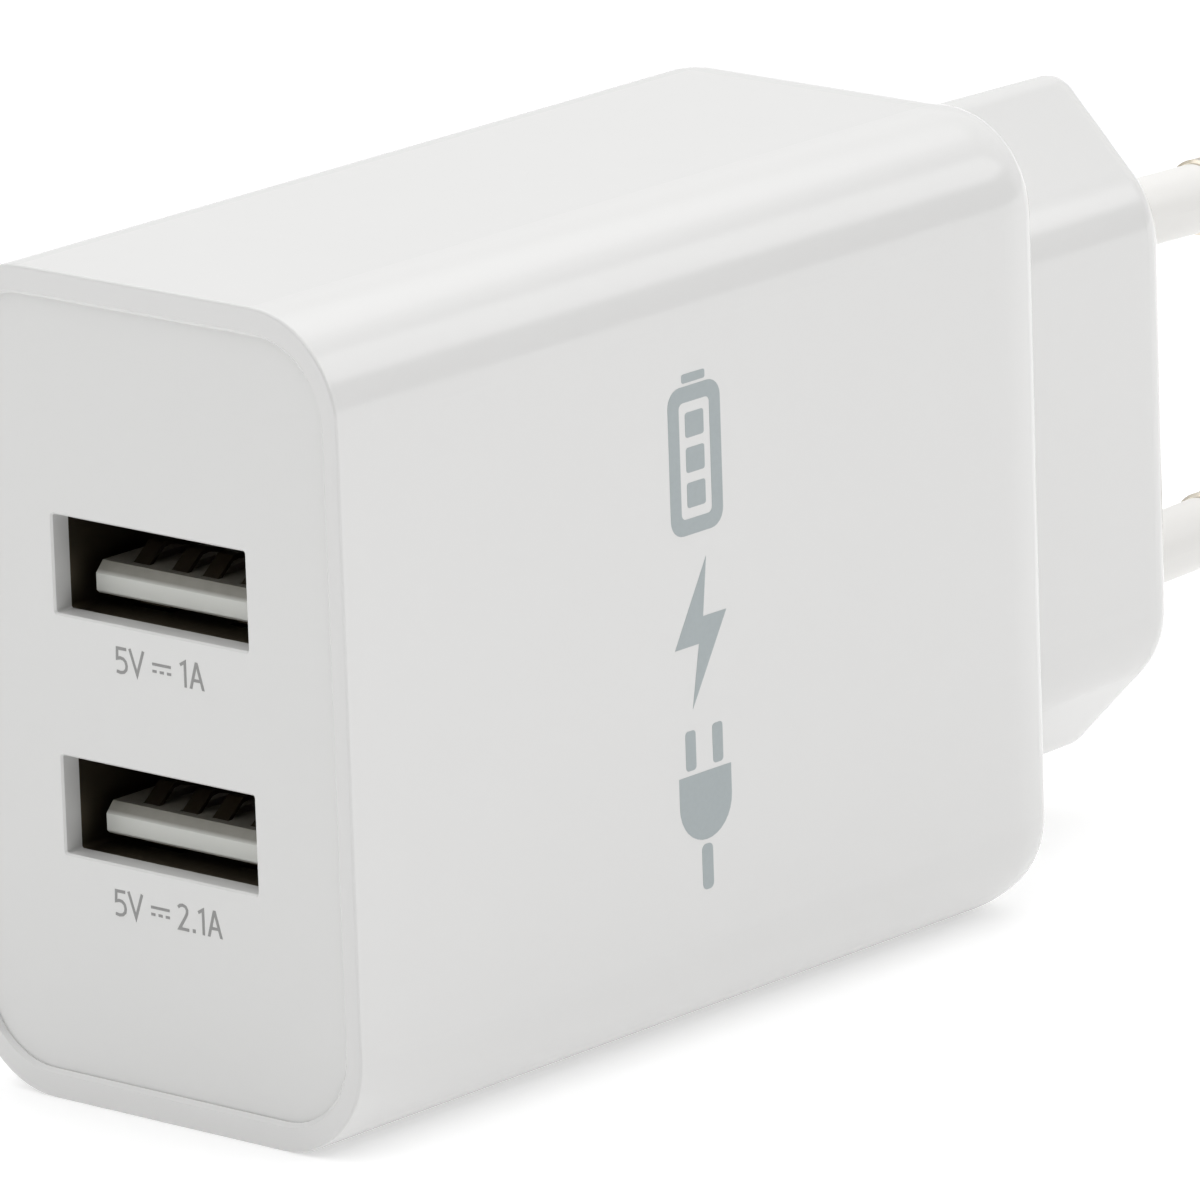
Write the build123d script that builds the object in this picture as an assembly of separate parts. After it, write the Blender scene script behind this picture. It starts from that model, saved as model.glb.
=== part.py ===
from build123d import *
import os
from math import atan2, degrees, sqrt

# Two-port USB wall charger with a two-pin plug built onto its housing, in millimetres.
# X runs through its thickness, +Y points into the wall socket and +Z is up.
# The origin is the centre of the plug's end face, which meets the socket.

# Housing
width = 25.6
height = 41.5
body_depth = 52.5
corner_radius = 5.3
wall = 2.0
rear_ease_inset = 0.6
rear_ease_length = 2.4
rear_ease_radius = 8.0
rear_edge_radius = 1.8
front_edge_radius = 0.15
fit_gap = 0.05

# Plug head
plug_depth = 17.5
plug_thickness = 13.5
plug_height = 36.0
plug_tip_radius = 1.5
plug_shoulder_radius = 5.4
plug_end_radius = 1.9
plug_draft = 0.3
plug_wall = 1.8
plug_end_wall = 2.5

# Plug pins, whose axes lean towards each other
pin_base_spacing = 18.4
pin_tip_spacing = 17.3
pin_length = 19.0
pin_radius = 2.0
pin_tip_radius = 1.6
pin_core_radius = 1.5
pin_grip_radius = 1.7
pin_tail_radius = 1.1
sleeve_radius = 1.8
sleeve_length = 10.0
sleeve_root = 3.0
sleeve_clearance = 0.02
mouth_depth = 0.3
grip_end = 8.5
tail_end = 11.5
boss_radius = 4.2
rib_half_thickness = 0.6

# Front panel
rim_side = 1.1
rim_end = 1.45
rim_chamfer = 0.2
panel_recess = 0.3
panel_thickness = 1.15
panel_corner = 4.1
panel_gap = 0.005
skirt_thickness = 1.0
skirt_depth = 4.0
port_width = 12.5
port_height = 4.9
port_corner = 0.12
port_chamfer = 0.1
port_heights = {"upper": 6.15, "lower": -5.85}
hook_height = 0.5
hook_width = 5.6

# USB receptacles, on their sides against the board
usb_outer = (13.1, 5.72)
usb_inner = (12.5, 5.12)
usb_depth = 13.4
usb_sheet = 0.3
usb_corner = 0.6
leaf_places = (-3.2, 3.2)
leaf_setbacks = (2.6, 8.4)
leaf_width = 2.0
leaf_slot = 0.3
leaf_dip = 0.4
tab_setbacks = (5.2, 11.4)
tab_half_width = 0.6
tab_root = 0.7
tab_play = 0.15
tongue_setback = 1.05
tongue_width = 11.1
tongue_bottom = -1.85
tongue_top = -0.3
tongue_nose = 0.85
insulator_depth = 4.0
contact_places = (-3.5, -1.0, 1.0, 3.5)
contact_width = 1.0
contact_sheet = 0.25
contact_tail_width = 0.5
contact_tail_gap = 0.5
contact_tail_pitch = 1.05
contact_groove_play = 0.08
# Each contact's line: distance behind the tongue's tip and rise above its groove
contact_line = ((1.0, 0.0), (2.15, 0.9), (2.6, 0.95), (6.6, 0.0))

# Circuit board, upright beside the receptacles
board_face = -7.0
board_thickness = 1.6
board_half_height = 17.6
board_nose_half_height = 10.5
isolation_slot = (1.2, 14.0)
lead_stick_out = 0.7
lead_clearance = 0.12

# Mains contacts
mains_strip = 0.4
mains_half_width = 1.6
mains_gap = 0.04
mains_press_y = grip_end + 1.5

# Transformer
core_width = 16.0
core_length = 16.0
core_height = 5.0
core_leg = 4.0
core_outer_leg = 2.0
core_back = 2.4
bobbin_wall = 0.6
bobbin_flange = 0.7
coil_build = 2.6
tape_sheet = 0.3
bobbin_rail = (14.0, 2.6, 2.4)
transformer_pin_radius = 0.35

# Allowances: how far a cut runs past its surface, and how far joined shapes overlap
through = 1.0
overlap = 0.5

# Places worked out from the driving dimensions
front_y = -(plug_depth + body_depth)
rear_y = -plug_depth
panel_back_y = front_y + panel_recess + panel_thickness
skirt_back_y = panel_back_y + skirt_depth
usb_back_y = panel_back_y + usb_depth
tongue_tip_y = panel_back_y + tongue_setback
cavity_rear_y = rear_y - wall
board_back = board_face - board_thickness
lead_end_x = board_back - lead_stick_out
board_rear_y = cavity_rear_y - 2.1
board_front_y = panel_back_y + 1.0
transformer_y = -41.0
transformer_x = 0.4
plug_tip_height = plug_height / 2 + plug_tip_radius * (sqrt(2) - 1)
pin_lean = degrees(atan2((pin_base_spacing - pin_tip_spacing) / 2, pin_length))
sides = {"upper": 1, "lower": -1}

# Through-hole parts on the board: (y, z) of each centre
input_capacitor_places = {"upper": (-27.6, 12.0), "lower": (-27.6, -12.0)}
output_capacitor_places = {"upper": (-57.6, 13.08), "lower": (-57.6, -13.08)}
inductor_place = (-27.6, 0.0)
y_capacitor_place = (-41.0, 13.4)
optocoupler_place = (-41.0, -13.0)
fuse_place = (-48.4, 12.6)
diode_place = (-48.4, -12.6)
axial_lead_radius = 0.35
axial_half_span = 3.9

# Their sizes: diameter and length of the cans, radius and length of the axial parts
input_capacitor_size = (10.0, 14.0)
output_capacitor_size = (8.0, 11.5)
can_standoff = 0.4
fuse_size = (1.7, 6.0)
diode_size = (2.0, 5.6)
axial_standoff = 0.5
choke_radius = 3.5
choke_core_radius = 1.6
choke_height = 8.5
choke_flange = 1.2
choke_standoff = 0.3
disc_radius = 4.4
disc_half_thickness = 1.7
disc_edge_radius = 1.3
disc_height = 5.6


def block(x_span, y_span, z_span):
    """Box from the low and high value of each axis."""
    spans = (x_span, y_span, z_span)
    middle = [(low + high) / 2 for low, high in spans]
    return Pos(*middle) * Box(*[high - low for low, high in spans])


def along_y(outline, y_from, y_to, taper=0.0):
    """Solid with an outline across X and Z, from one depth to another; a taper narrows it along +Y."""
    plane = Plane(origin=(0, y_from, 0), x_dir=(-1, 0, 0), z_dir=(0, 1, 0))
    return extrude(plane * outline, amount=y_to - y_from, taper=taper)


def along_x(points, x_from, x_to):
    """Prism with a (y, z) outline, from one X to another."""
    face = make_face(Polyline(*points, close=True))
    return extrude(Plane.YZ.offset(x_from) * face, amount=x_to - x_from)


def rod(radius, start, end):
    """Round rod along Z."""
    return Pos(0, 0, (start + end) / 2) * Cylinder(radius, end - start)


def post(radius, y, z, x_from, x_to):
    """Round post that stands on the board, along X."""
    return Pos(x_from, y, z) * Rot(0, 90, 0) * rod(radius, 0, x_to - x_from)


def lead(radius, y, z, x_top):
    """Straight lead from a part's underside through the board."""
    return post(radius, y, z, lead_end_x, x_top)


def on_pin(shape, side):
    """Moves a shape built about +Z onto the leaning axis of the upper (1) or lower (-1) pin."""
    return Pos(0, 0, side * pin_base_spacing / 2) * Rot(-(90 + side * pin_lean), 0, 0) * shape


def pin_axis_height(y, side):
    """Height of a pin's axis at a depth."""
    slope = (pin_base_spacing - pin_tip_spacing) / 2 / pin_length
    return side * (pin_base_spacing / 2 - slope * y)


def edges_at(shape, y):
    """Edges that lie wholly at one depth."""
    return shape.edges().filter_by_position(Axis.Y, y - 0.001, y + 0.001)


def body_outline(inset=0.0):
    return RectangleRounded(width - 2 * inset, height - 2 * inset, corner_radius - inset)


def plug_outline(inset=0.0):
    """Six-sided plug outline with 45 degree slants, rounded tips and softer shoulders."""
    half = plug_thickness / 2 - inset
    tip = plug_tip_height - inset * sqrt(2)
    flat = tip - half
    corners = [(half, -flat), (half, flat), (0, tip), (-half, flat), (-half, -flat), (0, -tip)]
    outline = make_face(Polyline(*corners, close=True))
    tips = [v for v in outline.vertices() if abs(v.X) < 0.01]
    outline = fillet(tips, plug_tip_radius)
    shoulders = [v for v in outline.vertices() if abs(abs(v.X) - half) < 0.01]
    return fillet(shoulders, plug_shoulder_radius - inset)


def strip(points, thickness):
    """Outline of a bent strip from the (y, z) points of its middle line."""
    upper = [(y, z + thickness / 2) for y, z in points]
    lower = [(y, z - thickness / 2) for y, z in points]
    return upper + lower[::-1]


def board_channel(side):
    """Rail inside the top or bottom wall with the groove that the board slides into."""
    x_span = (board_back - 1.0, board_face + 0.8)
    y_span = (skirt_back_y + 0.4, cavity_rear_y + overlap)
    z_outer = height / 2 - wall + 0.6
    z_inner = board_half_height - 0.5
    z_groove = board_half_height + fit_gap
    rail = block(x_span, y_span, sorted((side * z_inner, side * z_outer)))
    groove_x = (board_back - fit_gap, board_face + fit_gap)
    groove_y = (y_span[0] - through, board_rear_y + fit_gap)
    groove = block(groove_x, groove_y, sorted((side * (z_inner - through), side * z_groove)))
    return rail - groove


def hook_span():
    """Depths between which each snap hook of the front panel bears."""
    return panel_back_y + 1.8, panel_back_y + 3.3


def sleeve_mouth():
    """Countersink round a leaning sleeve where it leaves the plug's end face."""
    bore = sleeve_radius + sleeve_clearance
    cone_height = 2 * mouth_depth
    return Cone(bore, bore + cone_height, cone_height)


def eased_body():
    """Solid body whose walls draw in gently before the rounded rear edge."""
    body = along_y(body_outline(), front_y, rear_y)
    rear_face = body.faces().sort_by(Axis.Y)[-1]
    body = chamfer(edges_at(body, rear_y), rear_ease_inset, rear_ease_length, reference=rear_face)
    body = fillet(edges_at(body, rear_y - rear_ease_length), rear_ease_radius)
    return fillet(edges_at(body, rear_y), rear_edge_radius)


def housing_shell():
    """One moulding: the tube that takes the works from the front, and the plug head on its closed end."""
    body = fillet(edges_at(eased_body(), front_y), front_edge_radius)
    plug_root_y = rear_y - wall / 2
    draft_angle = degrees(atan2(plug_draft, plug_depth))
    plug = along_y(plug_outline(), plug_root_y, 0, draft_angle)
    plug = fillet(edges_at(plug, 0), plug_end_radius)
    shell = body + plug
    shell -= along_y(body_outline(wall), front_y - through, cavity_rear_y)
    shell -= along_y(plug_outline(plug_wall), cavity_rear_y - through, -plug_end_wall)
    seat = RectangleRounded(width - 2 * rim_side, height - 2 * rim_end, panel_corner)
    shell -= along_y(seat, front_y - through, panel_back_y)
    rim_face = shell.faces().sort_by(Axis.Y)[0]
    shell = chamfer(rim_face.inner_wires()[0].edges(), rim_chamfer)
    for side in sides.values():
        shell += board_channel(side)
        shell += on_pin(rod(boss_radius, -grip_end, -plug_end_wall + overlap), side)
        rib_z = side * pin_base_spacing / 2
        rib_x = plug_thickness / 2 - plug_wall / 2
        rib_y = (-grip_end + overlap, -plug_end_wall + overlap)
        shell += block((-rib_x, rib_x), rib_y, (rib_z - rib_half_thickness, rib_z + rib_half_thickness))
    for side in sides.values():
        shell -= on_pin(rod(sleeve_radius + sleeve_clearance, -sleeve_root, through), side)
        grip_bore = rod(pin_grip_radius + sleeve_clearance, -grip_end - through, -sleeve_root + 0.1)
        shell -= on_pin(grip_bore, side)
        shell -= on_pin(sleeve_mouth(), side)
    catch_y, ramp_y = hook_span()
    inner_x = width / 2 - wall
    for x_side in (1, -1):
        pocket_x = sorted((x_side * (inner_x - overlap), x_side * (inner_x + hook_height + 0.1)))
        for z in port_heights.values():
            pocket_z = (z - hook_width / 2 - 0.2, z + hook_width / 2 + 0.2)
            shell -= block(pocket_x, (catch_y - fit_gap, ramp_y + 0.3), pocket_z)
    return shell


def front_panel():
    """Inset front plate with the two port windows, and a skirt whose hooks snap into the housing."""
    plate_width = width - 2 * (rim_side + panel_gap)
    plate_height = height - 2 * (rim_end + panel_gap)
    plate_outline = RectangleRounded(plate_width, plate_height, panel_corner - panel_gap)
    plate = along_y(plate_outline, front_y + panel_recess, panel_back_y)
    skirt_outer = body_outline(wall + fit_gap)
    skirt_inner = body_outline(wall + fit_gap + skirt_thickness)
    skirt = along_y(skirt_outer, panel_back_y - 0.2, skirt_back_y)
    skirt -= along_y(skirt_inner, panel_back_y - through, skirt_back_y + through)
    panel = plate + skirt
    catch_y, ramp_y = hook_span()
    base_x = width / 2 - wall - fit_gap - 0.2
    tip_x = width / 2 - wall + hook_height
    wedge = [(base_x, catch_y), (tip_x, catch_y), (tip_x, catch_y + 0.4), (base_x, ramp_y)]
    for x_side in (1, -1):
        face = make_face(Polyline(*[(x_side * x, y) for x, y in wedge], close=True))
        for z in port_heights.values():
            hook = extrude(Plane.XY.offset(z - hook_width / 2) * face, amount=hook_width)
            panel += hook
    for z in port_heights.values():
        window = Pos(0, z) * RectangleRounded(port_width, port_height, port_corner)
        panel -= along_y(window, front_y - through, panel_back_y + through)
    front_face = panel.faces().sort_by(Axis.Y)[0]
    window_edges = [edge for wire in front_face.inner_wires() for edge in wire.edges()]
    return chamfer(window_edges, port_chamfer)


def plug_pin(side):
    """Solid pin: full-width contact end, thinner neck for the sleeve, grip in the boss and tail inside."""
    contact = rod(pin_radius, sleeve_length, pin_length)
    contact = fillet(contact.edges().sort_by(Axis.Z)[-1], pin_tip_radius)
    contact = chamfer(contact.edges().sort_by(Axis.Z)[0], 0.15)
    neck = rod(pin_core_radius, -sleeve_root - overlap, sleeve_length + overlap)
    grip = rod(pin_grip_radius, -grip_end, -sleeve_root)
    tail = rod(pin_tail_radius, -tail_end, -grip_end + overlap)
    tail = chamfer(tail.edges().sort_by(Axis.Z)[0], 0.3)
    return on_pin(contact + neck + grip + tail, side)


def pin_sleeve(side):
    """Insulating sleeve over the pin's neck, with a rounded outer lip."""
    sleeve = rod(sleeve_radius, -sleeve_root, sleeve_length)
    sleeve = fillet(sleeve.edges().sort_by(Axis.Z)[-1], 0.12)
    bore = rod(pin_core_radius + sleeve_clearance, -sleeve_root - through, sleeve_length + through)
    return on_pin(sleeve - bore, side)


def usb_shell(z):
    """Stamped receptacle shell with four inward spring leaves and four board tabs."""
    outer = Pos(0, z) * RectangleRounded(*usb_outer, usb_corner)
    inner = Pos(0, z) * RectangleRounded(*usb_inner, usb_corner - usb_sheet)
    shell = along_y(outer, panel_back_y, usb_back_y)
    shell -= along_y(inner, panel_back_y - through, usb_back_y + through)
    inner_z = usb_inner[1] / 2
    outer_z = usb_outer[1] / 2
    leaf_front, leaf_rear = [panel_back_y + setback for setback in leaf_setbacks]
    for side in (1, -1):
        for x in leaf_places:
            cut_z = sorted((z + side * (inner_z - 0.1), z + side * (outer_z + 0.1)))
            cut_half = leaf_width / 2 + leaf_slot
            shell -= block((x - cut_half, x + cut_half), (leaf_front - leaf_slot, leaf_rear), cut_z)
            leaf = [
                (leaf_front, z + side * (inner_z - leaf_dip)),
                (leaf_rear + usb_sheet, z + side * inner_z),
                (leaf_rear + usb_sheet, z + side * outer_z),
                (leaf_front, z + side * (outer_z - leaf_dip)),
            ]
            shell += along_x(leaf, x - leaf_width / 2, x + leaf_width / 2)
        for y in usb_tab_depths():
            tab_z = sorted((z + side * inner_z, z + side * outer_z))
            tab_y = (y - tab_half_width, y + tab_half_width)
            shell += block((lead_end_x, -usb_outer[0] / 2 + tab_root), tab_y, tab_z)
    return shell


def usb_tab_depths():
    return [panel_back_y + setback for setback in tab_setbacks]


def usb_insulator(z):
    """Moulded tongue and rear block of a receptacle, with a groove for each contact."""
    rear = Pos(0, z) * RectangleRounded(usb_inner[0] - 0.1, usb_inner[1] - 0.1, 0.25)
    rear_front_y = usb_back_y - insulator_depth
    side_view = [
        (tongue_tip_y + 0.15, z + tongue_bottom),
        (tongue_tip_y, z + tongue_bottom + 0.15),
        (tongue_tip_y, z - tongue_nose),
        (tongue_tip_y + 0.5, z + tongue_top),
        (rear_front_y + overlap, z + tongue_top),
        (rear_front_y + overlap, z + tongue_bottom),
    ]
    tongue = along_x(side_view, -tongue_width / 2, tongue_width / 2)
    insulator = along_y(rear, rear_front_y, usb_back_y) + tongue
    groove_z = (z + tongue_top - contact_sheet - 0.07, z + tongue_top + 0.02)
    for x in contact_places:
        half = contact_width / 2 + contact_groove_play
        insulator -= block((x - half, x + half), (tongue_tip_y + 0.95, usb_back_y + through), groove_z)
    return insulator


def contact_tail_places(z):
    """(x, y, z) of each contact and the depth at which its tail turns towards the board."""
    line_z = z + tongue_top - contact_sheet / 2 - 0.02
    first_y = usb_back_y + contact_tail_gap
    return [(x, first_y + step * contact_tail_pitch, line_z) for step, x in enumerate(contact_places)]


def usb_contacts(z):
    """Four spring contacts: each bows up from the tongue's groove and its tail turns into the board."""
    contacts = []
    for x, tail_y, line_z in contact_tail_places(z):
        path = [(tongue_tip_y + setback, line_z + rise) for setback, rise in contact_line]
        path.append((tail_y + contact_tail_width, line_z))
        leaf = along_x(strip(path, contact_sheet), x - contact_width / 2, x + contact_width / 2)
        tail_z = (line_z - contact_sheet / 2, line_z + contact_sheet / 2)
        tail = block((lead_end_x, x), (tail_y, tail_y + contact_tail_width), tail_z)
        contacts.append(leaf + tail)
    return Compound(children=contacts)


def mains_contact(side):
    """Sprung strip that stands on the board's rear end and presses on a pin's tail."""
    near = abs(pin_axis_height(-mains_press_y, side)) - pin_tail_radius - mains_gap
    z_span = sorted((side * near, side * (near - mains_strip)))
    foot = block((lead_end_x, board_face + 1.0), mains_foot_span(), z_span)
    upright = block((board_face, mains_half_width), (board_rear_y - 1.7, board_rear_y - 0.2), z_span)
    arm = block((-mains_half_width, mains_half_width), (board_rear_y - 1.7, -grip_end - 0.6), z_span)
    return foot + upright + arm


def mains_foot_span():
    return board_rear_y - 1.5, board_rear_y - 0.4


def mains_foot_z(side):
    near = abs(pin_axis_height(-mains_press_y, side)) - pin_tail_radius - mains_gap
    return side * (near - mains_strip / 2)


def capacitor_lead_places():
    """(y, z, radius) of the leads of all the wet capacitors."""
    places = []
    for y, z in input_capacitor_places.values():
        places += [(y, z + step, 0.3) for step in (-2.5, 2.5)]
    for y, z in output_capacitor_places.values():
        places += [(y, z + step, 0.3) for step in (-1.75, 1.75)]
    return places


def transformer_pin_places():
    """(y, z) of the pins in the two rails of the bobbin."""
    rail_y = core_length / 2 - bobbin_rail[1] / 2 + 0.2
    primary = [(transformer_y + rail_y, step * 3.0) for step in (-2, -1, 0, 1, 2)]
    secondary = [(transformer_y - rail_y, step * 4.0) for step in (-1.5, -0.5, 0.5, 1.5)]
    return primary + secondary


def y_capacitor_leads_places():
    y, z = y_capacitor_place
    return [(y + step, z) for step in (-3.75, 3.75)]


def inductor_lead_places():
    y, z = inductor_place
    return [(y, z + step) for step in (-2.0, 2.0)]


def optocoupler_leg_places():
    y, z = optocoupler_place
    return [(y + across * 3.81, z + along * 1.27) for across in (-1, 1) for along in (-1, 1)]


def axial_lead_places():
    """(y, z) of the board holes of the fuse resistor and the output diode, which lie along Z."""
    places = []
    for y, z in (fuse_place, diode_place):
        places += [(y, z - axial_half_span), (y, z + axial_half_span)]
    return places


def main_board():
    """Glass-epoxy board with its holes, tab slots and the isolation slot under the transformer."""
    x_span = (board_back, board_face)
    nose_half = board_nose_half_height
    board = block(x_span, (skirt_back_y + 0.2, board_rear_y), (-board_half_height, board_half_height))
    board += block(x_span, (board_front_y, skirt_back_y + overlap), (-nose_half, nose_half))
    slot_x = (board_back - through, board_face + through)
    slot_width, slot_height = isolation_slot
    slot_y = (transformer_y - slot_width / 2, transformer_y + slot_width / 2)
    board -= block(slot_x, slot_y, (-slot_height / 2, slot_height / 2))
    holes = list(capacitor_lead_places())
    holes += [(y, z, transformer_pin_radius) for y, z in transformer_pin_places()]
    holes += [(y, z, 0.3) for y, z in y_capacitor_leads_places() + inductor_lead_places()]
    holes += [(y, z, 0.3) for y, z in optocoupler_leg_places()]
    holes += [(y, z, axial_lead_radius) for y, z in axial_lead_places()]
    for port_z in port_heights.values():
        tails = contact_tail_places(port_z)
        holes += [(y + contact_tail_width / 2, z, 0.3) for _, y, z in tails]
    for y, z, radius in holes:
        board -= post(radius + lead_clearance, y, z, *slot_x)
    for port_z in port_heights.values():
        for side in (1, -1):
            slot_z = port_z + side * (usb_inner[1] / 2 + usb_sheet / 2)
            for y in usb_tab_depths():
                slot_y = (y - tab_half_width - tab_play, y + tab_half_width + tab_play)
                slot_half = usb_sheet / 2 + tab_play
                board -= block(slot_x, slot_y, (slot_z - slot_half, slot_z + slot_half))
    foot_low, foot_high = mains_foot_span()
    for side in sides.values():
        slot_z = mains_foot_z(side)
        slot_half = mains_strip / 2 + tab_play
        board -= block(slot_x, (foot_low - 0.1, foot_high + 0.1), (slot_z - slot_half, slot_z + slot_half))
    return board


def centred(x_size, y_size, z_size, y_shift=0.0):
    """Block about the transformer's centre."""
    return Pos(transformer_x, transformer_y + y_shift, 0) * Box(x_size, y_size, z_size)


def transformer_core(direction):
    """One E-shaped ferrite half; the two meet in the middle of the coil."""
    half = core_length / 2
    low, high = (transformer_y, transformer_y + half)
    core = block(
        (transformer_x - core_height / 2, transformer_x + core_height / 2),
        (low, high),
        (-core_width / 2, core_width / 2),
    )
    for side in (1, -1):
        window_z = sorted((side * core_leg / 2, side * (core_width / 2 - core_outer_leg)))
        window_x = (transformer_x - core_height, transformer_x + core_height)
        core -= block(window_x, (low - through, high - core_back), window_z)
    return core if direction > 0 else mirror(core, about=Plane.XZ.offset(-transformer_y))


def transformer_bobbin():
    """Moulded coil former with two end flanges and the two rails that hold the pins."""
    inner_x = core_height + 0.1
    inner_z = core_leg + 0.1
    length = core_length - 2 * core_back - 0.1
    tube = centred(inner_x + 2 * bobbin_wall, length, inner_z + 2 * bobbin_wall)
    flange_z = core_width - 2 * core_outer_leg - 0.2
    flange_x = core_height + 2 * bobbin_wall + 2 * coil_build + 2 * tape_sheet + 0.6
    flange_y = length / 2 - bobbin_flange / 2
    for direction in (1, -1):
        tube += centred(flange_x, bobbin_flange, flange_z, direction * flange_y)
    bobbin = tube - centred(inner_x, length + through, inner_z)
    rail_z, rail_y, rail_x = bobbin_rail
    rail_middle = core_length / 2 - rail_y / 2 + 0.2
    for direction in (1, -1):
        y = transformer_y + direction * rail_middle
        rail = Box(rail_x, rail_y, rail_z)
        bobbin += Pos(board_face + rail_x / 2, y, 0) * rail
        web_y = sorted((y, transformer_y + direction * (flange_y - 0.2)))
        bobbin += block((board_face + 0.6, board_face + rail_x), web_y, (-4.5, 4.5))
    for y, z in transformer_pin_places():
        bobbin -= post(transformer_pin_radius + 0.02, y, z, board_face - through, board_face + rail_x - 0.6)
    return bobbin


def transformer_coil(inner_growth, thickness):
    """Closed ring with rounded corners wound on the bobbin."""
    length = core_length - 2 * core_back - 0.1 - 2 * bobbin_flange - 0.04
    inner_x = core_height + 0.1 + 2 * bobbin_wall + 2 * inner_growth
    inner_z = core_leg + 0.1 + 2 * bobbin_wall + 2 * inner_growth
    if inner_growth < 1:
        inner = Rectangle(inner_x, inner_z)
    else:
        inner = RectangleRounded(inner_x, inner_z, inner_growth)
    outer = RectangleRounded(inner_x + 2 * thickness, inner_z + 2 * thickness, inner_growth + thickness)
    ring = outer - inner
    start = transformer_y - length / 2
    return Pos(transformer_x, 0, 0) * along_y(ring, start, start + length)


def transformer_pins():
    top = board_face + bobbin_rail[2] - 0.6
    return Compound(
        children=[lead(transformer_pin_radius, y, z, top - 0.02) for y, z in transformer_pin_places()]
    )


def capacitor_can(place, diameter, length):
    """Wet capacitor standing on the board: a sleeved can with its crimp groove and rounded top."""
    y, z = place
    bottom = board_face + can_standoff
    can = rod(diameter / 2, 0, length)
    can = fillet(can.edges().sort_by(Axis.Z)[-1], 0.6)
    can = fillet(can.edges().sort_by(Axis.Z)[0], 0.5)
    groove = Pos(0, 0, 2.2) * Torus(diameter / 2 + 0.25, 0.6)
    vent = Pos(0, 0, length) * (Box(diameter * 0.6, 0.25, 0.3) + Box(0.25, diameter * 0.6, 0.3))
    return Pos(bottom, y, z) * Rot(0, 90, 0) * (can - groove - vent)


def capacitor_leads():
    top = board_face + can_standoff - 0.02
    return Compound(children=[lead(radius, y, z, top) for y, z, radius in capacitor_lead_places()])


def axial_body(place, radius, length):
    """Round-bodied part lying along Z just above the board."""
    y, z = place
    body = rod(radius, -length / 2, length / 2)
    body = fillet(body.edges().filter_by(GeomType.CIRCLE), radius * 0.35)
    return Pos(board_face + axial_standoff + radius, y, z) * body


def axial_lead(place, body_half, height_x, side):
    """Formed lead: out of the body along Z, round a bend and down through the board."""
    y, z = place
    bend = 0.8
    end_z = z + side * axial_half_span
    path = Polyline((height_x, y, z + side * body_half), (height_x, y, end_z), (lead_end_x, y, end_z))
    corner = path.vertices().sort_by_distance((height_x, y, end_z))[0]
    path = fillet(corner, bend)
    start = Plane(origin=(height_x, y, z + side * body_half), z_dir=(0, 0, side))
    return sweep(start * Circle(axial_lead_radius), path=path)


def axial_leads():
    leads = []
    for place, (radius, length) in ((fuse_place, fuse_size), (diode_place, diode_size)):
        height_x = board_face + axial_standoff + radius
        leads += [axial_lead(place, length / 2, height_x, side) for side in (1, -1)]
    return Compound(children=leads)


def inductor_core():
    """Ferrite bobbin of the input filter choke."""
    y, z = inductor_place
    core = rod(choke_core_radius, 0, choke_height)
    core += rod(choke_radius, 0, choke_flange)
    core += rod(choke_radius, choke_height - choke_flange, choke_height)
    return Pos(board_face + choke_standoff, y, z) * Rot(0, 90, 0) * core


def inductor_winding():
    y, z = inductor_place
    winding = rod(choke_radius - 0.4, choke_flange + 0.02, choke_height - choke_flange - 0.02)
    winding -= rod(choke_core_radius + 0.02, 0, choke_height)
    return Pos(board_face + choke_standoff, y, z) * Rot(0, 90, 0) * winding


def inductor_leads():
    top = board_face + choke_standoff - 0.02
    return Compound(children=[lead(0.3, y, z, top) for y, z in inductor_lead_places()])


def y_capacitor():
    """Coated disc standing on edge."""
    y, z = y_capacitor_place
    disc = rod(disc_radius, -disc_half_thickness, disc_half_thickness)
    disc = fillet(disc.edges().filter_by(GeomType.CIRCLE), disc_edge_radius)
    return Pos(board_face + disc_height, y, z) * disc


def y_capacitor_leads():
    """Two straight leads beside the disc's lower edge, each with a short root inside the coating."""
    radius = 0.3
    leads = []
    for y, z in y_capacitor_leads_places():
        inward = 1 if y < y_capacitor_place[0] else -1
        top_x = board_face + 3.0
        straight = lead(radius, y, z, top_x)
        crank = Pos(top_x, y + inward * 0.5, z) * Rot(90, 0, 0) * Cylinder(radius, 1.0)
        knee = Pos(top_x, y, z) * Sphere(radius)
        leads.append(straight + knee + crank)
    return Compound(children=leads)


def optocoupler():
    """Four-legged moulded package across the isolation gap."""
    y, z = optocoupler_place
    body = Pos(board_face + 0.5 + 1.7, y, z) * Box(3.4, 6.2, 4.6)
    body = chamfer(body.edges().filter_by(Axis.Z), 0.35)
    dot = post(0.4, y - 2.2, z - 1.5, board_face + 3.8, board_face + 5)
    return body - dot


def optocoupler_legs():
    """Flat legs that leave the package's flanks and turn down into the board."""
    legs = []
    middle_y = optocoupler_place[0]
    for y, z in optocoupler_leg_places():
        outward = 1 if y > middle_y else -1
        flank_y = middle_y + outward * 3.1
        arm_x = (board_face + 1.9, board_face + 2.2)
        arm = block(arm_x, sorted((flank_y, y + outward * 0.15)), (z - 0.25, z + 0.25))
        drop = block((lead_end_x, arm_x[1]), (y - 0.15, y + 0.15), (z - 0.25, z + 0.25))
        legs.append(arm + drop)
    return Compound(children=legs)


def chip_body(y, z, y_size, z_size, x_size):
    """Moulded package on the board's solder side."""
    body = Pos(board_back - 0.1 - x_size / 2, y, z) * Box(x_size, y_size, z_size)
    outer_edges = body.faces().sort_by(Axis.X)[0].edges()
    return chamfer(outer_edges, 0.15)


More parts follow.
